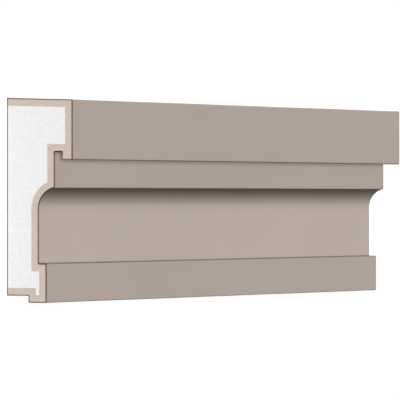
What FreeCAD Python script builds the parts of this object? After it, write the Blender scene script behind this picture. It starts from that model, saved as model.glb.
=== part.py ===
import FreeCAD, Part
import math
import os

# Window sill moulding: a foam core with a hard coat on its top, front and bottom, cut square at
# both ends. Its back, which goes against the wall, is bare foam.
# It lies on its back. X runs along the length, Y is its height on the wall, with the top of the
# sill at +Y, and Z stands out from the wall. Z = 0 is the back face. Lengths are in millimetres.

# Stock length, and thickness of the coat, which is the same on every face
length = 700.0
coat_thickness = 5.75

# Heights of the faces, from the foot of the nose up to the back edge of the top
nose_drop = 5.2
band_height = 28.8
body_height = 39.8
cove_height = 15.45
frieze_height = 26.3
lip_drop = 5.85
fascia_height = 44.1
top_fall = 1.4

# Widths of the steps, from the wall out to the fascia
body_projection = 25.1
cove_projection = 12.7
throat_width = 5.7
lip_thickness = 8.4
ledge_width = 6.2
nose_thickness = 14.2

# Rounding of the coat's arrises and of its inner corners, and the thinnest foam that can be cut
arris_radius = 1.0
inner_radius = 0.4
thinnest_foam = 0.5

# Distances of the upright faces from the wall
body_front = body_projection
frieze_front = body_front + cove_projection
lip_back = frieze_front + throat_width
fascia_front = lip_back + lip_thickness
band_front = body_front + ledge_width
nose_back = band_front - nose_thickness

# Levels above the foot of the nose
ledge_level = band_height
cove_start = ledge_level + body_height
cove_top = cove_start + cove_height
soffit_level = cove_top + frieze_height
lip_level = soffit_level - lip_drop
top_front = lip_level + fascia_height
top_back = top_front + top_fall

# The cove is one arc, tangent to the body and ending at the lower edge of the frieze
cove_radius = (cove_projection**2 + cove_height**2) / (2 * cove_projection)
cove_centre = body_front + cove_radius


def place(depth, height):
    """Point of the section at the near end, from its distance to the wall and its level."""
    return FreeCAD.Vector(-length / 2, height - top_back / 2, depth)


def top_level(depth, inset):
    """Level of the sloping top at a distance from the wall, moved down square to its slope."""
    slope = math.atan2(top_fall, fascia_front)
    return top_back - depth * math.tan(slope) - inset / math.cos(slope)


def cove_arc(inset):
    """Arc of the cove, its radius larger by the inset, from the body up to the frieze."""
    radius = cove_radius + inset
    last_angle = math.acos((cove_centre - frieze_front + inset) / radius)
    points = []
    for angle in (0.0, last_angle / 2, last_angle):
        depth = cove_centre - radius * math.cos(angle)
        level = cove_start + radius * math.sin(angle)
        points.append(place(depth, level))
    return points


def closed_face(below_cove, cove, above_cove):
    """Flat face bounded by straight edges and one arc."""
    start, middle, end = cove
    lower = [place(*point) for point in below_cove] + [start]
    upper = [end] + [place(*point) for point in above_cove] + [lower[0]]
    edges = [Part.makeLine(a, b) for a, b in zip(lower, lower[1:])]
    edges.append(Part.Arc(start, middle, end).toShape())
    edges += [Part.makeLine(a, b) for a, b in zip(upper, upper[1:])]
    return Part.Face(Part.Wire(edges))


def coat_outline():
    """Outer outline of the moulding, with the drip lip under the fascia and the nose at the foot."""
    below_cove = [
        (0.0, nose_drop),
        (nose_back, nose_drop),
        (nose_back, 0.0),
        (band_front, 0.0),
        (band_front, ledge_level),
        (body_front, ledge_level),
    ]
    above_cove = [
        (frieze_front, soffit_level),
        (lip_back, soffit_level),
        (lip_back, lip_level),
        (fascia_front, lip_level),
        (fascia_front, top_level(fascia_front, 0.0)),
        (0.0, top_back),
    ]
    return below_cove, cove_arc(0.0), above_cove


def core_outline():
    """Outline of the core, one coat thickness inside; the lip is too thin to hold any foam."""
    t = coat_thickness
    foot = nose_drop + t
    below_cove = [(0.0, foot)]
    if nose_thickness - 2 * t > thinnest_foam:
        below_cove += [(nose_back + t, foot), (nose_back + t, t), (band_front - t, t)]
    else:
        below_cove += [(band_front - t, foot)]
    below_cove += [(band_front - t, ledge_level - t), (body_front - t, ledge_level - t)]
    above_cove = [
        (frieze_front - t, soffit_level + t),
        (fascia_front - t, soffit_level + t),
        (fascia_front - t, top_level(fascia_front - t, t)),
        (0.0, top_level(0.0, t)),
    ]
    return below_cove, cove_arc(t), above_cove


def coat_arrises():
    """Corners of the section where the coat turns outwards, which meet the weather and the trowel."""
    return [
        (nose_back, 0.0),
        (band_front, 0.0),
        (band_front, ledge_level),
        (frieze_front, cove_top),
        (lip_back, lip_level),
        (fascia_front, lip_level),
        (fascia_front, top_level(fascia_front, 0.0)),
    ]


def coat_inner_corners():
    """Corners of the section where the coat turns inwards."""
    return [
        (nose_back, nose_drop),
        (body_front, ledge_level),
        (frieze_front, soffit_level),
        (lip_back, soffit_level),
    ]


def round_long_edges(solid, corners, radius):
    """Rounds the edges that run along the length from the given corners of the section."""
    starts = [place(*corner) for corner in corners]
    found = []
    for edge in solid.Edges:
        ends = [vertex.Point for vertex in edge.Vertexes]
        along = abs(ends[0].x - ends[-1].x) > length / 2
        nearest = min(end.distanceToPoint(start) for end in ends for start in starts)
        if along and nearest < 1e-6:
            found.append(edge)
    return solid.makeFillet(radius, found)


def foam_core():
    """Foam block, wire-cut to the section less the coat."""
    return closed_face(*core_outline()).extrude(FreeCAD.Vector(length, 0, 0))


def hard_coat(core):
    """Coat of even thickness over the core. A rounding takes at most 0.4 of the narrowest face."""
    narrowest = min(nose_drop, lip_drop, ledge_width, throat_width, lip_thickness, coat_thickness)
    solid = closed_face(*coat_outline()).extrude(FreeCAD.Vector(length, 0, 0))
    solid = round_long_edges(solid, coat_inner_corners(), min(inner_radius, 0.4 * narrowest))
    solid = round_long_edges(solid, coat_arrises(), min(arris_radius, 0.4 * narrowest))
    return solid.cut(core)


core = foam_core()
coat = hard_coat(core)
os.makedirs("parts", exist_ok=True)
core.exportStep("parts/foam_core.step")
coat.exportStep("parts/hard_coat.step")
for name, shape in (("foam_core", core), ("hard_coat", coat)):
    box = shape.BoundBox
    print(name, shape.ShapeType, "solids", len(shape.Solids), "valid", shape.isValid())
    print("  volume cm3", round(shape.Volume / 1000, 1))
    print("  box mm", round(box.XLength, 2), round(box.YLength, 2), round(box.ZLength, 2))
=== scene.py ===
# %% [markdown]
# # A coated foam window sill moulding
# The real thing is one length of stock. A foam block is cut with a hot wire to a stepped and coved
# section, then drawn through a trough of hard coat that leaves an even skin on its top, front and
# underside. The skin is finished in taupe, and the length is cut square with a saw. Here it lies on its
# back, as it would on a bench: X runs along the length, Y is its height on the wall and Z is its depth.
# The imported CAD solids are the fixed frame, and each dressed piece below takes the place of one of them.

# %% Load the fixed frame
import math

import bpy
import numpy as np
from mathutils import Matrix, Vector
from mathutils.geometry import delaunay_2d_cdt


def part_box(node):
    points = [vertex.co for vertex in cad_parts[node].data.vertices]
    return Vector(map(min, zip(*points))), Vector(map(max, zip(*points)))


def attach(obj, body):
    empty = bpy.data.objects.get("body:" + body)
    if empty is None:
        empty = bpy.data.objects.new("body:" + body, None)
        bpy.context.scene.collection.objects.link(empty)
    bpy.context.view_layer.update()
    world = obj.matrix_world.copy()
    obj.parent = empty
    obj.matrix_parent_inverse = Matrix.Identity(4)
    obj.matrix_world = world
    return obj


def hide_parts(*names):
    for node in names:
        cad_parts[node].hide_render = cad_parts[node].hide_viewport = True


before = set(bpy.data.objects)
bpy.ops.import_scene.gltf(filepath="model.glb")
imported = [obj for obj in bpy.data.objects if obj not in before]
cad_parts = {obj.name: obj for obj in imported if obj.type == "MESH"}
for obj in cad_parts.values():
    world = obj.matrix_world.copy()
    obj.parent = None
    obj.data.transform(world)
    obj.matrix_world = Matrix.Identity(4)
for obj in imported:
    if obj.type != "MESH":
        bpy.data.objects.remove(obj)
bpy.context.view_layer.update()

coat_low, coat_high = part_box("hard_coat")
core_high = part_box("foam_core")[1]

# %% [markdown]
# ## The section
# Everything about this object is in its section, so the section comes first. It could be drawn by hand
# as a curve and bevelled, but then its corners would be guesses. Here it is a short list of corners,
# worked out from the heights and widths of the steps, with one arc for the cove. The height, the depth
# and the thickness of the coat come from the frame. The steps have to add up to the frame's height, so
# both heights are printed below.

# %% Sizes of the steps, in metres
nose_drop = 0.0052
band_height = 0.0288
body_height = 0.0398
cove_height = 0.01545
frieze_height = 0.0263
lip_drop = 0.00585
fascia_height = 0.0441
top_fall = 0.0014
body_projection = 0.0251
cove_projection = 0.0127
lip_thickness = 0.0084
ledge_width = 0.0062
nose_thickness = 0.0142
arris_radius = 0.0010
inner_radius = 0.0004

# %% Levels up the wall and depths from it
foot = coat_low.y
top_back = coat_high.y
fascia_front = coat_high.z
half_length = coat_high.x
coat_thickness = coat_high.z - core_high.z

ledge = foot + band_height
cove_start = ledge + body_height
cove_top = cove_start + cove_height
soffit = cove_top + frieze_height
lip_level = soffit - lip_drop
frieze_front = body_projection + cove_projection
lip_back = fascia_front - lip_thickness
band_front = body_projection + ledge_width
nose_back = band_front - nose_thickness
cove_radius = (cove_projection**2 + cove_height**2) / (2 * cove_projection)
cove_centre = body_projection + cove_radius
print("coat thickness in mm:", round(1000 * coat_thickness, 2))
print("height in mm, by steps:", round(1000 * (lip_level + fascia_height + top_fall - foot), 2))
print("height in mm, by the frame:", round(1000 * (top_back - foot), 2))


# %% The cove and the sloping top
def cove_points(inset, count=22):
    """Points (level, depth) on the cove, from the body up to the frieze.

    The centre of the arc lies one radius in front of the body, so the arc leaves the body smoothly. The
    level is that of the centre plus radius times the sine of the angle turned, and the depth is the
    centre's less radius times its cosine. An inset makes the radius larger.
    """
    radius = cove_radius + inset
    last = math.acos((cove_centre - frieze_front + inset) / radius)
    turned = np.linspace(0, last, count)
    level = cove_start + radius * np.sin(turned)
    depth = cove_centre - radius * np.cos(turned)
    return np.stack([level, depth], axis=1)


def top_level(depth, inset):
    """Level of the sloping top at a distance from the wall, less an inset square to the slope."""
    slope = math.atan2(top_fall, fascia_front)
    return top_back - depth * math.tan(slope) - inset / math.cos(slope)


print("the cove ends at a level and depth in mm of", (1000 * cove_points(0.0)[-1]).round(2))


# %% Corners of the coat
def coat_corners():
    """Rows (level, depth, radius) of the coat's corners.

    The walk starts at the foam and goes down the bare edge of the coat at the back, under the nose, up
    the front, over the top and down the other bare edge to the foam. Arrises are rounder than inner
    corners, and the cut back edges are sharp.
    """
    below = [
        (foot + nose_drop + coat_thickness, 0.0, 0.0),
        (foot + nose_drop, 0.0, 0.0),
        (foot + nose_drop, nose_back, inner_radius),
        (foot, nose_back, arris_radius),
        (foot, band_front, arris_radius),
        (ledge, band_front, arris_radius),
        (ledge, body_projection, inner_radius),
    ]
    above = [
        (soffit, frieze_front, inner_radius),
        (soffit, lip_back, inner_radius),
        (lip_level, lip_back, arris_radius),
        (lip_level, fascia_front, arris_radius),
        (top_level(fascia_front, 0.0), fascia_front, arris_radius),
        (top_back, 0.0, 0.0),
        (top_level(0.0, coat_thickness), 0.0, 0.0),
    ]
    cove = np.insert(cove_points(0.0), 2, 0.0, axis=1)
    cove[-1, 2] = arris_radius
    return np.concatenate([below, cove, above])


corners = coat_corners()
print("corners of the coat:", len(corners))


# %% Corners of the foam
def foam_corners():
    """Corners of the foam, one coat thickness inside. The drip lip is too thin to hold any foam."""
    t = coat_thickness
    below = [
        (foot + nose_drop + t, 0.0),
        (foot + nose_drop + t, nose_back + t),
        (foot + t, nose_back + t),
        (foot + t, band_front - t),
        (ledge - t, band_front - t),
        (ledge - t, body_projection - t),
    ]
    above = [
        (soffit + t, frieze_front - t),
        (soffit + t, fascia_front - t),
        (top_level(fascia_front - t, t), fascia_front - t),
        (top_level(0.0, t), 0.0),
    ]
    return np.concatenate([below, cove_points(t), above])


foam_front = foam_corners()
print("corners of the foam:", len(foam_front))

# %% [markdown]
# ## Rounded arrises
# A trough leaves every arris and every inner corner a little round, and light catches that roundness, so
# the corners can't stay sharp. A Bevel modifier could round them, but it would also round the saw cut at
# the ends. Rounding the outline before it is carried along the length touches only the long edges.
# Straight runs then get more points, because the faces of a real length are never dead flat.

# %% Round the corners
same_point = 1e-7


def unit(rows):
    """Each row divided by its own length."""
    return rows / np.linalg.norm(rows, axis=1, keepdims=True)


def rounded(outline, radii, steps=6):
    """The polyline with each inner corner replaced by an arc of its radius.

    The arc's centre lies on the bisector of the corner at radius over the sine of half its angle, and the
    arc starts and ends at radius over the tangent of that half angle. Between them the point turns evenly
    about the centre. A radius of nought leaves the corner as it is.
    """
    before = unit(outline[:-2] - outline[1:-1])
    after = unit(outline[2:] - outline[1:-1])
    half = np.arccos(np.clip((before * after).sum(1), -1, 1)) / 2
    centre = outline[1:-1] + unit(before + after) * (radii[1:-1] / np.sin(half))[:, None]
    reach = (radii[1:-1] / np.tan(half))[:, None]
    start = outline[1:-1] + before * reach - centre
    end = outline[1:-1] + after * reach - centre
    turn = (math.pi - 2 * half)[:, None, None]
    share = np.linspace(0, 1, steps + 1)[None, :, None]
    from_start = np.sin((1 - share) * turn) / np.sin(turn) * start[:, None]
    from_end = np.sin(share * turn) / np.sin(turn) * end[:, None]
    arcs = (centre[:, None] + from_start + from_end).reshape(-1, 2)
    points = np.concatenate([outline[:1], arcs, outline[-1:]])
    apart = np.linalg.norm(np.diff(points, axis=0), axis=1) > same_point
    return points[np.concatenate([[True], apart])]


coat_outline = rounded(corners[:, :2], corners[:, 2])
print("points of the rounded outline:", len(coat_outline))


# %% Divide the straight runs
def divided(outline, step, guard):
    """The same polyline with more points, none further apart than the step.

    Each run is divided evenly by its length. A guard point just inside both ends of a long run keeps the
    smooth shading of the arris from spilling on to the flat face.
    """
    run = np.linalg.norm(np.diff(outline, axis=0), axis=1)
    reached = np.concatenate([[0.0], np.cumsum(run)])
    pieces = np.ceil(run / step).astype(int)
    within = np.arange(pieces.sum()) - np.repeat(np.cumsum(pieces) - pieces, pieces)
    even = np.repeat(reached[:-1], pieces) + within * np.repeat(run / pieces, pieces)
    long_run = run > step
    guards = np.concatenate([reached[:-1][long_run] + guard, reached[1:][long_run] - guard])
    places = np.unique(np.concatenate([even, guards, reached[-1:]]))
    return np.stack([np.interp(places, reached, outline[:, axis]) for axis in (0, 1)], axis=1)


face_step = 0.003
guard_width = 0.0003
coat_front = divided(coat_outline, face_step, guard_width)
print("points round the coat:", len(coat_front))

# %% [markdown]
# ## One piece of stock
# A moulding is its section carried along a line, so each piece is a grid of two parameters: the place
# round the section and the place along the length. The columns of the grid are close together at both
# ends, where the first narrow strip carries the dark cut edge of the finish. A cut end closes each side
# of the grid. It has a thin rim, where the film of finish is cut through, and inside the rim a net of
# small triangles that can hold the marks of the saw. A Delaunay triangulation fills that odd shape
# evenly, which one large flat face could not. The sweep and its ends share the vertices where they meet,
# so each piece is one closed solid.

# %% Columns along the length
edge_width = 0.0008
guard_column = 0.0030
column_step = 0.004
last_columns = half_length - np.array([0.0, edge_width, 2 * edge_width, guard_column])
inner_count = math.ceil(2 * last_columns[-1] / column_step)
inner_columns = np.linspace(-last_columns[-1], last_columns[-1], inner_count + 1)
columns = np.concatenate([-last_columns[:-1], inner_columns, last_columns[-2::-1]])
print("columns along the length:", len(columns))


# %% Directions out of the section
def turned_left(rows):
    """Each row (level, depth) turned a quarter to the left."""
    return np.stack([-rows[:, 1], rows[:, 0]], axis=1)


def outward(outline):
    """Unit directions out of the solid. It is on the right of the walk, so they point to the left."""
    return turned_left(unit(np.gradient(outline, axis=0)))


def moved_inwards(outline, distance):
    """The inner corners of a polyline, moved into the solid so that both runs move by the distance.

    The sum of the outward directions of the two runs lies on the bisector, and its length is twice the
    cosine of half the turn. The corner has to move by the distance over that cosine, so the sum is scaled
    by twice the distance over its own length squared.
    """
    out = turned_left(unit(np.diff(outline, axis=0)))
    both = out[:-1] + out[1:]
    return outline[1:-1] - 2 * distance * both / (both**2).sum(1, keepdims=True)


def toward(start, end, distance):
    """The point at a distance from the start on the way to the end."""
    way = end - start
    return start + way * distance / np.linalg.norm(way)


print("the bare back edge of the coat faces, in level and depth:", outward(coat_front)[0])


# %% Which points lie inside a loop
def inside(points, loop, clearance):
    """Which points lie in a closed loop and more than the clearance from its line.

    A point is inside when a ray along the level crosses the loop an odd number of times. Its distance to
    an edge is its distance to the nearest point of that edge, found by projecting on to it and clamping
    to its ends.
    """
    start = loop
    end = np.roll(loop, -1, axis=0)
    way = end - start
    depth = points[:, None, 1]
    crosses = (start[None, :, 1] > depth) != (end[None, :, 1] > depth)
    # An edge that stays at one depth is never crossed, so any rise but nought will do for it
    rise = np.where(way[:, 1] == 0, 1.0, way[:, 1])
    meets = start[None, :, 0] + (depth - start[None, :, 1]) * way[None, :, 0] / rise[None]
    odd = (crosses & (points[:, None, 0] < meets)).sum(1) % 2 == 1
    offset = points[:, None] - start[None]
    share = np.clip((offset * way[None]).sum(2) / (way**2).sum(1)[None], 0, 1)
    gap = np.linalg.norm(offset - share[:, :, None] * way[None], axis=2).min(1)
    return odd & (gap > clearance)


lip_middle = np.array([[lip_level, (lip_back + fascia_front) / 2]])
print("the drip lip holds foam:", inside(lip_middle, foam_front, 0.0)[0])

# %% [markdown]
# ## Waves in the coat and marks of the saw
# The coat sags a little before it sets, so long faint waves run over the faces, and the saw leaves
# slanting strokes on the ends. A bump in the finish could show both and cost no vertices, but it would
# leave the mesh itself flat. Here the vertices move, each by its own small depth into the solid.

# %% Waves in the faces
wave_lengths = (0.31, 0.19, 0.13, 0.085, 0.055)
bend_span = 0.03
end_fade = 0.03
back_fade = 0.003


def gentle_waves(shown, depth, seed):
    """How far a swept face lies under its ideal plane, from nought to the depth.

    The result has a row for each column of the sweep and a value for each point of the section. A wave is
    its own length times the sine of the place along the length, in turns of that length, plus a random
    start, plus a slant times a second sine of the place round the section. The waves are added and
    brought between nought and one. They fade out as a smooth step at both ends, and as a straight line
    next to the back, which lay flat on the bench.
    """
    pick = np.random.default_rng(seed)
    place = np.concatenate([[0.0], np.cumsum(np.linalg.norm(np.diff(shown, axis=0), axis=1))])
    total = np.zeros((len(columns), len(place)))
    for wave_length in wave_lengths:
        phase = pick.uniform(0, 2 * math.pi, 2)
        slant = pick.uniform(0.3, 1.0)
        angle = 2 * math.pi * columns[:, None] / wave_length + phase[0]
        total += wave_length * np.sin(angle + slant * np.sin(place[None] / bend_span + phase[1]))
    total = (total - total.min()) / (total.max() - total.min())
    from_end = np.clip((half_length - np.abs(columns)) / end_fade, 0, 1)
    from_back = np.clip(shown[:, 1] / back_fade, 0, 1)
    return depth * total * (from_end**2 * (3 - 2 * from_end))[:, None] * from_back[None]


coat_dip = 0.00012
coat_seed = 3
deepest = gentle_waves(coat_front, coat_dip, coat_seed).max()
print("deepest dip in a face of the coat, in mm:", round(1000 * deepest, 3))

# %% Strokes on the cut ends
stroke_pitch = 0.0026
stroke_wander = 0.004
pressure_span = 0.007
stroke_share = 0.6


def saw_marks(points, depth, seed):
    """How deep the cut end lies under its plane: slanting uneven strokes of the blade, plus grain.

    A stroke is a sine of the distance across a slanting line, and a second sine of that distance makes
    its pitch uneven. Its strength is a slow sine of the depth from the wall. Strokes and random grain are
    added by their shares.
    """
    pick = np.random.default_rng(seed)
    lean = pick.uniform(0.25, 0.45)
    across = points[:, 0] * math.cos(lean) + points[:, 1] * math.sin(lean)
    uneven = 1.5 * np.sin(across / stroke_wander)
    stroke = 0.5 + 0.5 * np.sin(2 * math.pi * across / stroke_pitch + uneven)
    strength = 0.6 + 0.4 * np.sin(points[:, 1] / pressure_span + pick.uniform(0, 6))
    return depth * (stroke_share * stroke * strength + (1 - stroke_share) * pick.random(len(points)))


print("mean depth of the marks, as a share:", saw_marks(foam_front, 1.0, coat_seed).mean().round(3))

# %% [markdown]
# ## From arrays to a piece
# Three kinds of faces make a piece: quads along the sweep, and triangles on the rim and on the sawn face
# of each end. Blender could make the sweep with a curve and a bevel object, but then the ends would not
# share its vertices. The zone of a face says which finish it gets. A piece has four, in this order:
# where the finish shows, the hidden faces and the bare back, the rim with the strip next to it, and the
# sawn face.

# %% The sweep
finish_zone, hidden_zone, rim_zone, sawn_zone = range(4)
flush = 1e-9


def sweep(ring, shown_count, sunk):
    """Vertices, quads and zones of the section carried along X.

    Vertex (i, j) is at column i and at ring point j, moved inwards by sunk[i, j] on the shown part of the
    ring.
    """
    rows, count = len(columns), len(ring)
    away = outward(ring[:shown_count])
    flat = np.repeat(ring[None], rows, axis=0)
    flat[:, :shown_count] -= sunk[:, :, None] * away[None]
    along = np.broadcast_to(columns[:, None, None], (rows, count, 1))
    vertices = np.concatenate([along, flat], axis=2).reshape(-1, 3)

    column, place = np.meshgrid(np.arange(rows - 1), np.arange(count), indexing="ij")
    following = (place + 1) % count
    corners_of_face = [
        column * count + place,
        (column + 1) * count + place,
        (column + 1) * count + following,
        column * count + following,
    ]
    on_shown = place < shown_count - 1
    on_back = np.maximum(ring[place, 1], ring[following, 1]) < flush
    at_end = (column == 0) | (column == rows - 2)
    along_zone = np.where(on_shown & ~on_back, finish_zone, hidden_zone)
    zones = np.where(on_shown & at_end, rim_zone, along_zone)
    return vertices, np.stack(corners_of_face, axis=-1).reshape(-1, 4), zones.ravel()


# %% The net of a cut end
shake = 0.25
clear_share = 0.4
only_inside = 1
merge_within = 1e-9


def end_net(ring, shown_count, outline, rim, grain, seed):
    """Points (level, depth) of a cut end, its triangles, its border's count, and which faces are rim.

    The ring comes first, then the rim line, which runs inside the shown part of the ring at the rim's
    width, and last the net: a square grid with each point shaken by up to a quarter of its step. Points
    of the net that come nearer to the line than 0.4 of the step are left out.
    """
    rim_end, rim_start = shown_count, len(ring) - 1
    rim_line = np.concatenate([[ring[rim_start]], moved_inwards(outline, rim), [ring[rim_end]]])
    rim_line = divided(rim_line, 2 * grain, 0.0)[1:-1]
    loop = np.concatenate([[ring[rim_start]], rim_line, ring[rim_end:rim_start]])

    steps = [np.arange(low, high, grain) for low, high in zip(loop.min(0), loop.max(0))]
    grid = np.stack(np.meshgrid(*steps, indexing="ij"), axis=-1).reshape(-1, 2)
    grid += np.random.default_rng(seed).uniform(-shake, shake, grid.shape) * grain
    net = grid[inside(grid, loop, clear_share * grain)]

    points = np.concatenate([ring, rim_line, net])
    border = len(ring) + len(rim_line)
    round_ring = np.stack([np.arange(len(ring)), np.roll(np.arange(len(ring)), -1)], axis=1)
    inner_line = np.concatenate([[rim_start], np.arange(len(ring), border), [rim_end]])
    edges = np.concatenate([round_ring, np.stack([inner_line[:-1], inner_line[1:]], axis=1)])
    corner_list = list(map(Vector, points))
    result = delaunay_2d_cdt(corner_list, edges.tolist(), [], only_inside, merge_within)
    if len(result[0]) != len(points):
        raise ValueError("the net of a cut end has merged points")
    triangles = np.array(result[2])
    on_rim = ~inside(points[triangles].mean(1), loop, 0.0)
    return points, triangles, border, on_rim


# %% A mesh from arrays
sharp_degrees = 24


def piece_from_arrays(name, vertices, polygons, zones):
    """A smooth mesh object from arrays of vertices, quads and triangles. Real edges stay sharp."""
    sizes = np.concatenate([np.full(len(faces), faces.shape[1]) for faces in polygons])
    starts = np.concatenate([[0], np.cumsum(sizes)[:-1]])
    indices = np.concatenate([faces.ravel() for faces in polygons])
    mesh = bpy.data.meshes.new(name)
    mesh.vertices.add(len(vertices))
    mesh.vertices.foreach_set("co", vertices.astype(np.float32).ravel())
    mesh.loops.add(len(indices))
    mesh.loops.foreach_set("vertex_index", indices.astype(np.int32))
    mesh.polygons.add(len(sizes))
    mesh.polygons.foreach_set("loop_start", starts.astype(np.int32))
    mesh.polygons.foreach_set("material_index", zones.astype(np.int32))
    mesh.update(calc_edges=True)
    mesh.validate()
    mesh.shade_smooth()
    mesh.set_sharp_from_angle(angle=math.radians(sharp_degrees))
    piece = bpy.data.objects.new(name, mesh)
    bpy.context.scene.collection.objects.link(piece)
    return piece


# %% A whole piece
def swept_piece(name, outline, hidden, wave_depth, rim, grain, mark_depth, seed):
    """A closed piece: its section carried along X, with a net of triangles on both cut ends.

    The ring of the section is the shown outline, then the hidden line that closes it. The two ends of the
    rim lie on the hidden line. The marks of the saw sink the net, and leave the ring and the rim line.
    The waves, the net and the marks of each end draw from seeds of their own.
    """
    shown = divided(outline, face_step, guard_width)
    rim_end = toward(shown[-1], hidden[0], rim)
    rim_start = toward(shown[0], hidden[-1], rim)
    ring = np.concatenate([shown, [rim_end], hidden, [rim_start]])
    vertices, quads, zones = sweep(ring, len(shown), gentle_waves(shown, wave_depth, seed))
    points, triangles, border, on_rim = end_net(ring, len(shown), outline, rim, grain, seed + 1)
    new = points[len(ring):]
    all_vertices, polygons, all_zones = [vertices], [quads], [zones]
    for side, row in ((-1, 0), (1, len(columns) - 1)):
        depth = saw_marks(new, mark_depth, seed + 2 + row)
        depth[:border - len(ring)] = 0
        on_ring = row * len(ring) + np.arange(len(ring))
        added = sum(map(len, all_vertices)) + np.arange(len(new))
        all_vertices.append(np.concatenate([side * (half_length - depth)[:, None], new], axis=1))
        polygons.append(np.concatenate([on_ring, added])[triangles][:, ::side])
        all_zones.append(np.where(on_rim, rim_zone, sawn_zone))
    vertices, zones = np.concatenate(all_vertices), np.concatenate(all_zones)
    return piece_from_arrays(name, vertices, polygons, zones), len(ring)


# %% Measure a piece
def points_of(mesh):
    """The vertices of a mesh, as rows of X, Y and Z."""
    flat = np.zeros(len(mesh.vertices) * 3, np.float32)
    mesh.vertices.foreach_get("co", flat)
    return flat.reshape(-1, 3)


def describe(piece):
    """Prints the size of a mesh and its volume, which is positive only if its faces point outwards."""
    mesh = piece.data
    mesh.calc_loop_triangles()
    index = np.zeros(len(mesh.loop_triangles) * 3, np.int32)
    mesh.loop_triangles.foreach_get("vertices", index)
    a, b, c = points_of(mesh)[index.reshape(-1, 3)].astype(float).transpose(1, 0, 2)
    volume = (a * np.cross(b, c)).sum() / 6
    print(piece.name, "triangles", len(a), "volume in cm3", round(1e6 * volume, 1))


# %% [markdown]
# ## The hard coat
# The coat shows on the outside and on both cut ends. It could be a Solidify modifier over an open sheet,
# but its cut ends and its bare back edges need shapes of their own. Its section is closed by the outline
# of the foam instead, so it is exactly as thick as the solid it replaces. Its faces dip by a tenth of a
# millimetre here and there, always inwards, so it stays inside the CAD box.

# %% The coat
coat, ring_count = swept_piece(
    "coat", coat_outline, foam_front[-2:0:-1],
    wave_depth=coat_dip, rim=edge_width, grain=0.0007, mark_depth=0.00008, seed=coat_seed,
)
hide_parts("hard_coat")
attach(coat, "root")
describe(coat)

# %% [markdown]
# ## The foam core
# The foam only shows on the cut ends and on the bare back. Its section is the same list of corners that
# closed the coat, walked the other way round, so the two pieces meet with no gap. The shown line is the
# back. Its two ends have a thin grey edge along the back, which is painted shade standing in for the
# contact shadow where the back meets the floor.

# %% The foam
foam, _ = swept_piece(
    "foam", foam_front[[-1, 0]], foam_front[1:-1],
    wave_depth=0.0, rim=0.0007, grain=0.0009, mark_depth=0.00012, seed=29,
)
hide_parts("foam_core")
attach(foam, "root")
describe(foam)

# %% [markdown]
# ## Finishes
# Every finish is made of nodes that read Object coordinates, so the pattern has its real size in metres
# and stays put from any side. An image of plaster would give more detail in one spot, but it would repeat
# along 700 mm. The first helper below adds a node, and gives each of its inputs a number or another
# node's output.


# %% Node helpers
def add(tree, kind, inputs=None, **settings):
    """A new node. An input that is a socket is linked, and any other value is set on the node itself."""
    node = tree.nodes.new("ShaderNode" + kind)
    for name, value in settings.items():
        setattr(node, name, value)
    for name, value in (inputs or {}).items():
        if isinstance(value, bpy.types.NodeSocket):
            tree.links.new(value, node.inputs[name])
        else:
            node.inputs[name].default_value = value
    return node


def between(tree, value, low, high, start=0.0, end=1.0):
    """A value that runs from start to end, brought to the span from low to high, and clamped there."""
    inputs = {"Value": value, "From Min": start, "From Max": end, "To Min": low, "To Max": high}
    return add(tree, "MapRange", inputs).outputs["Result"]


def times(tree, first, *others):
    """The product of several values."""
    for other in others:
        first = add(tree, "Math", {0: first, 1: other}, operation="MULTIPLY").outputs[0]
    return first


def noise(tree, where, per_metre, detail, **more):
    """A noise between nought and one, with so many lumps to a metre."""
    inputs = {"Vector": where, "Scale": per_metre, "Detail": detail, **more}
    return add(tree, "TexNoise", inputs).outputs["Fac"]


# %% Helpers for a whole finish
def plain_finish(name, roughness, specular):
    """A material with its node tree, its main shader, and Object coordinates in metres."""
    made = bpy.data.materials.new(name)
    made.use_nodes = True
    tree = made.node_tree
    shader = tree.nodes["Principled BSDF"]
    shader.inputs["Roughness"].default_value = roughness
    shader.inputs["Specular IOR Level"].default_value = specular
    return made, tree, shader, add(tree, "TexCoord").outputs["Object"]


def paint(tree, shader, colour, factor):
    """Sets the base colour to a colour times a factor that varies over the surface."""
    scaled = add(tree, "VectorMath", {"Vector": colour[:3], "Scale": factor}, operation="SCALE")
    tree.links.new(scaled.outputs["Vector"], shader.inputs["Base Color"])


def relief(tree, shader, height, strength, distance):
    """Bumps the surface by a height between nought and one, times a distance in metres."""
    bump = add(tree, "Bump", {"Height": height, "Strength": strength, "Distance": distance})
    tree.links.new(bump.outputs["Normal"], shader.inputs["Normal"])


# %% Colours
def srgb(red, green, blue):
    """Linear colour of an sRGB colour that is given from 0 to 255, by the usual curve."""
    share = np.array([red, green, blue]) / 255
    linear = np.where(share <= 0.04045, share / 12.92, ((share + 0.055) / 1.055) ** 2.4)
    return tuple(linear) + (1.0,)


taupe_colour = srgb(172, 159, 150)
film_colour = srgb(105, 91, 80)
mortar_colour = srgb(210, 194, 181)
foam_colour = srgb(243, 243, 243)
# Grey of the painted contact shadow along the foam's back edge.
edge_shadow_colour = srgb(62, 62, 62)
print("taupe in linear light:", [round(float(part), 3) for part in taupe_colour])

# %% [markdown]
# ## Tone of the finish
# The taupe isn't one tone all round. The body is painted a little paler than the fascia, the frieze and
# the band, which is painted light. The finish is darker up the cove and in the throat, which is painted
# shade, and thin lines of painted shade lie along the ledge and the drip edge. A texture could not follow
# the steps, so the tone is worked out from the place of each point in the section, and stored on the coat
# as an attribute.

# %% Tone of each face and of the cove
change_over = 0.0001
# The ledge's tone is painted shade, the body's is painted light, and the cove's fade is painted shade.
painted_ledge_shade = 0.55
painted_body_light = 1.135
cove_shade_depth = 0.35
eye_power = 2.2


def face_tone(level):
    """Tone 1, but higher from the ledge to the top of the cove, as painted light, and lower on the ledge
    itself, as painted shade.
    """
    levels = [ledge - change_over, ledge, ledge + change_over, cove_top, cove_top + change_over]
    return np.interp(level, levels, [1.0, painted_ledge_shade, painted_body_light, painted_body_light, 1.0])


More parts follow.
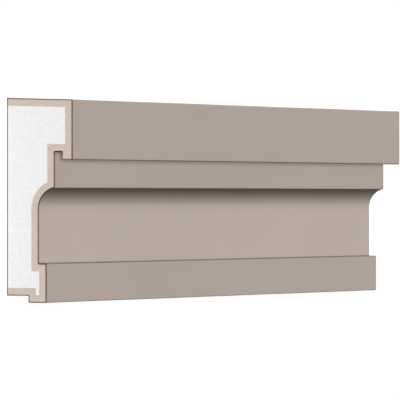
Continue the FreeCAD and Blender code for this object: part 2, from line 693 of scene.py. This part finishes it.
def cove_painted_shade(level):
    """Painted shade: one less a share of the cove's fade, raised to the power 2.2, which the eye sees as
    an even fade.

    The share grows with the way up the cove, and starts softly just below it. Next to the frieze it is
    more than the whole, so the painted shade is deepest under that edge. Above the cove the tone is 1.
    """
    rise = [-0.004, 0.0, 0.002, cove_height - 0.0008, cove_height]
    up_cove = np.interp(level - cove_start, rise, [0.0, 0.05, 0.07, 0.95, 1.15])
    return np.where(level < cove_top - change_over, (1 - cove_shade_depth * up_cove) ** eye_power, 1.0)


cove_ends = np.array([cove_start, cove_top - 2 * change_over])
print("tone at the foot and the head of the cove:", cove_painted_shade(cove_ends).round(3))

# %% Painted shade at corners and in the throat
# Thin lines of painted shade along the ledge's corner and arris, the drip edge and the nose's rebate.
corner_shade_strength = 0.65


def painted_corner_shade(points):
    """How much of the tone the painted shade takes: most at a shaded corner, fading fast where its reach
    ends.

    It is the strength times the exponential of less the fourth power of the distance over the reach, for
    the corner where that distance is least. Each shaded corner has a level, a depth and a reach.
    """
    shaded_corners = np.array([
        (ledge, body_projection, 0.0004),
        (ledge, band_front, 0.0006),
        (lip_level, fascia_front, 0.0006),
        (foot + nose_drop, nose_back, 0.0006),
    ])
    gap = np.linalg.norm(points[:, None] - shaded_corners[None, :, :2], axis=2) / shaded_corners[:, 2]
    return corner_shade_strength * np.exp(-gap.min(1) ** 4)


def painted_throat_shade(level, depth):
    """Painted shade that falls towards the soffit behind the lip, fastest next to it, and 1 elsewhere."""
    in_throat = (level > lip_level) & (level <= soffit) & (depth < lip_back + change_over)
    shade_toward_soffit = np.interp(soffit - level, [0.0, 0.0002, 0.0027], [0.45, 0.65, 1.0])
    return np.where(in_throat, shade_toward_soffit, 1.0)


# %% The whole tone, round the section
def tone_round(points):
    """Tone of the finish at points (level, depth) of the section: the product of all the painted light and
    shade there.
    """
    level, depth = points.T
    return face_tone(level) * cove_painted_shade(level) * (1 - painted_corner_shade(points)) * painted_throat_shade(level, depth)


front_tone = tone_round(coat_front)
print("lightest and darkest tone:", front_tone.max().round(3), front_tone.min().round(3))


# %% Store the tone on the coat
def tone_by_nearest(points):
    """Tone of other points (level, depth): that of the nearest point of the outline."""
    nearest = np.linalg.norm(points[:, None] - coat_front[None], axis=2).argmin(1)
    return front_tone[nearest]


ring_tone = np.ones(ring_count)
ring_tone[:len(coat_front)] = front_tone
end_points = points_of(coat.data)[len(columns) * ring_count:, 1:]
tone = np.concatenate([np.tile(ring_tone, len(columns)), tone_by_nearest(end_points)])
stored = coat.data.attributes.new("tone", "FLOAT", "POINT")
stored.data.foreach_set("value", tone.astype(np.float32))
print("tones stored:", len(tone))

# %% [markdown]
# ## Taupe finish on the coat
# The finish is a sanded render: a flat taupe with a fine sand grain of under a millimetre and a broad,
# faint cloudiness. One noise for each is enough, because neither has an edge. Where the film is cut
# through at the ends it is darker and browner. Its tone, which is painted light and shade, is raised to a
# power there, so that the painted shade darkens it further up the cove and in the throat.

# %% The finish
clouds_per_metre = 9.0
grains_per_metre = 1300.0


def sanded_finish(name, colour, grain_contrast, tone_power=1.0):
    """Sanded render: a colour times the tone of painted light and shade, broad clouds and sand grain, with
    the grain as relief.
    """
    made, tree, shader, where = plain_finish(name, roughness=0.86, specular=0.15)
    stored_tone = add(tree, "Attribute", attribute_name="tone").outputs["Fac"]
    tone_of_face = add(tree, "Math", {0: stored_tone, 1: tone_power}, operation="POWER").outputs[0]
    cloud = noise(tree, where, clouds_per_metre, detail=3.0)
    sand = noise(tree, where, grains_per_metre, detail=3.0, Roughness=0.6)
    clouds = between(tree, cloud, low=0.985, high=1.015, start=0.3, end=0.7)
    grains = between(tree, sand, low=1 - grain_contrast, high=1 + grain_contrast, start=0.25, end=0.75)
    paint(tree, shader, colour, times(tree, tone_of_face, clouds, grains))
    tree.links.new(between(tree, sand, low=0.80, high=0.92), shader.inputs["Roughness"])
    relief(tree, shader, sand, strength=0.35, distance=0.00025)
    return made


taupe = sanded_finish("taupe_finish", taupe_colour, grain_contrast=0.05)
cut_film = sanded_finish("cut_edge_of_finish", film_colour, grain_contrast=0.10, tone_power=1.5)
print("finish:", taupe.name, "and", cut_film.name)

# %% [markdown]
# ## The sawn coat
# Cut through, the coat shows its mortar: beige, with paler and darker sand and a few fine pores. One
# noise would only blur the beige. A Voronoi texture gives each grain of sand a shade of its own instead,
# and a second noise is dark only near its lowest values, which leaves the pores.

# %% Cut coat
sand_per_metre = 1250.0
pores_per_metre = 620.0
patches_per_metre = 60.0


def cut_mortar(name, colour):
    """Mortar in section: a shade for each grain, dark pores where a noise is low, and both as relief."""
    made, tree, shader, where = plain_finish(name, roughness=0.9, specular=0.12)
    cells = add(tree, "TexVoronoi", {"Vector": where, "Scale": sand_per_metre}, feature="F1")
    grain = add(tree, "SeparateColor", {"Color": cells.outputs["Color"]}).outputs["Red"]
    shade = between(tree, grain, low=0.93, high=1.07)
    holes = noise(tree, where, pores_per_metre, detail=2.0)
    pores = between(tree, holes, low=0.72, high=1.0, start=0.27, end=0.34)
    patch = noise(tree, where, patches_per_metre, detail=2.0)
    patches = between(tree, patch, low=0.98, high=1.02, start=0.3, end=0.7)
    paint(tree, shader, colour, times(tree, shade, pores, patches))
    round_grain = between(tree, cells.outputs["Distance"], low=1.0, high=0.6)
    relief(tree, shader, times(tree, pores, round_grain), strength=0.4, distance=0.0002)
    return made


mortar = cut_mortar("cut_coat", mortar_colour)
print("finish:", mortar.name)

# %% [markdown]
# ## The foam
# Expanded foam is made of beads, 3 to 5 mm across, pressed together until they meet in flat walls. A cut
# goes straight through them, so they show as pale cells with a thin seam between them. A Voronoi texture
# in three dimensions is just such a packing, and any cut through it looks right. The contrast is very
# low, because fresh foam is almost one white.

# %% Cut foam
bead_size = 0.0042
pits_per_metre = 2200.0
pit_share = 0.15


def beaded_foam(name, colour):
    """Foam in section: a shade for each bead, and a thin grey seam where the wall is near."""
    made, tree, shader, where = plain_finish(name, roughness=0.8, specular=0.2)
    inputs = {"Vector": where, "Scale": 1 / bead_size}
    walls = add(tree, "TexVoronoi", inputs, feature="DISTANCE_TO_EDGE").outputs["Distance"]
    cells = add(tree, "TexVoronoi", inputs, feature="F1").outputs["Color"]
    bead = add(tree, "SeparateColor", {"Color": cells}).outputs["Red"]
    shade = between(tree, bead, low=0.988, high=1.008)
    seam = between(tree, walls, low=0.975, high=1.0, start=0.0, end=0.09)
    paint(tree, shader, colour, times(tree, shade, seam))
    pits = times(tree, noise(tree, where, pits_per_metre, detail=2.0), pit_share)
    dome = between(tree, walls, low=0.0, high=1.0, start=0.0, end=0.2)
    height = add(tree, "Math", {0: pits, 1: dome}, operation="ADD").outputs[0]
    relief(tree, shader, height, strength=0.22, distance=0.0002)
    return made


white_foam = beaded_foam("cut_foam", foam_colour)
# The grey edge of the foam's back is painted shade, a painted contact shadow against the floor.
shadow_foam_edge = beaded_foam("painted_shadow_foam_edge", edge_shadow_colour)
print("finish:", white_foam.name, "and", shadow_foam_edge.name)

# %% Give each zone its finish
coat_finishes = {finish_zone: taupe, hidden_zone: mortar, rim_zone: cut_film, sawn_zone: mortar}
foam_finishes = {
    finish_zone: white_foam, hidden_zone: white_foam, rim_zone: shadow_foam_edge, sawn_zone: white_foam,
}
for zone in (finish_zone, hidden_zone, rim_zone, sawn_zone):
    coat.data.materials.append(coat_finishes[zone])
    foam.data.materials.append(foam_finishes[zone])
for piece in (coat, foam):
    print(piece.name, "finishes:", [finish.name for finish in piece.data.materials])

# %% [markdown]
# ## The floor
# The object is judged by its own tones, so the studio is plain. The floor is a large plane at the level
# of the back face. A background of pure light would be simpler, but it would lose the shadow. Seen by the
# camera, this floor is nearly a plain white light with a little real shading left, so the shadow stays,
# but pale. To every other ray it is a matt grey floor. The world works the same way.


# %% Floor
def seen(tree):
    """1 for camera, glossy and transmission rays, and 0 for the rest."""
    path = add(tree, "LightPath").outputs
    either = {0: path["Is Camera Ray"], 1: path["Is Glossy Ray"]}
    both = add(tree, "Math", either, operation="MAXIMUM").outputs[0]
    return add(tree, "Math", {0: both, 1: path["Is Transmission Ray"]}, operation="MAXIMUM").outputs[0]


def matt(tree, grey):
    """A matt shader of one grey."""
    return add(tree, "BsdfDiffuse", {"Color": (grey, grey, grey, 1.0)}).outputs[0]


def studio_floor(reach=30.0, own_light=0.80, shading=0.26, bounce=0.4):
    """A square plane. Its own light plus its shading comes to just over 1 in the open."""
    corner_x = np.array([-reach, reach, reach, -reach])
    corner_y = np.array([-reach, -reach, reach, reach])
    places = np.stack([corner_x, corner_y, np.zeros(4)], axis=1)
    mesh = bpy.data.meshes.new("floor")
    mesh.from_pydata(places.tolist(), [], [(0, 1, 2, 3)])
    plane = bpy.data.objects.new("floor", mesh)
    bpy.context.scene.collection.objects.link(plane)
    made = bpy.data.materials.new("studio_floor")
    made.use_nodes = True
    tree = made.node_tree
    tree.nodes.clear()
    glow = add(tree, "Emission", {"Strength": own_light}).outputs[0]
    shown = add(tree, "AddShader", {0: glow, 1: matt(tree, shading)}).outputs[0]
    chosen = add(tree, "MixShader", {"Fac": seen(tree), 1: matt(tree, bounce), 2: shown}).outputs[0]
    add(tree, "OutputMaterial", {"Surface": chosen})
    mesh.materials.append(made)
    return plane


floor = studio_floor()
print("floor at z =", round(floor.data.vertices[0].co.z, 4))

# %% [markdown]
# ## World and lamps
# An even, pale world fills every hollow a little, and three suns do the rest. Area lamps would fall off
# along 700 mm of stock, and suns don't. The key comes from above the fascia and gives each face its tone.
# It casts no shadow, because the reference shows none on its faces. The low lamp comes from the near end,
# and its soft shadow, with the painted shade on the drip edge, draws the dark line under the drip lip.
# The far lamp lies a little below the floor, so it lights the far end, which the other two can't reach,
# and leaves the front faces alone.


# %% World and lamps
def studio_world(fill):
    """White to the camera, and an even pale fill to every surface."""
    world = bpy.data.worlds.new("studio")
    world.use_nodes = True
    tree = world.node_tree
    tree.nodes.clear()
    strength = between(tree, seen(tree), fill, 1.0)
    light = add(tree, "Background", {"Strength": strength}).outputs[0]
    add(tree, "OutputWorld", {"Surface": light})
    bpy.context.scene.world = world


def soft_lamp(name, toward_lamp, strength, spread, shadows):
    """A sun that shines from a direction. The spread of its disc, in degrees, softens its shadows."""
    lamp = bpy.data.lights.new(name, "SUN")
    lamp.energy = strength
    lamp.angle = math.radians(spread)
    lamp.use_shadow = shadows
    holder = bpy.data.objects.new(name, lamp)
    holder.rotation_euler = Vector(toward_lamp).to_track_quat("Z", "Y").to_euler()
    bpy.context.scene.collection.objects.link(holder)
    print(name, "strength", strength, "spread in degrees", spread)


studio_world(fill=0.12)
soft_lamp("key", (-0.18, 0.55, 0.82), strength=2.04, spread=10, shadows=False)
soft_lamp("low", (-0.85, 0.07, 0.52), strength=2.2, spread=8, shadows=True)
soft_lamp("far", (1.0, 0.0, -0.10), strength=1.8, spread=4, shadows=False)

# %% [markdown]
# ## Camera
# The camera was found by fitting the corners of the section to the reference view. It looks at the near
# end from far away with a long lens, 21.7 degrees off the length, and it is turned so that the height on
# the wall is upright in the picture. A Track To constraint would keep Z upright instead, so the camera
# gets a matrix of its own right, up and backward directions.

# %% Place the camera
degrees_off_length = 21.67
distance = 5.010
aim = Vector((0.0, 0.00011, 0.01292))
camera_level = 0.00153
focal_length_mm = 576.6
sensor_width_mm = 36

turn = math.radians(degrees_off_length)
place = aim - distance * Vector((math.cos(turn), 0.0, -math.sin(turn)))
place.y = camera_level
forward = (aim - place).normalized()
right = forward.cross(Vector((0, 1, 0))).normalized()
up = right.cross(forward)

lens = bpy.data.cameras.new("camera")
lens.sensor_width = sensor_width_mm
lens.lens = focal_length_mm
camera = bpy.data.objects.new("camera", lens)
turned_axes = Matrix((right, up, -forward)).transposed().to_4x4()
camera.matrix_world = Matrix.Translation(place) @ turned_axes
bpy.context.scene.collection.objects.link(camera)
bpy.context.scene.camera = camera
bpy.context.scene.view_settings.view_transform = "Standard"
print("camera at", [round(value, 3) for value in place])
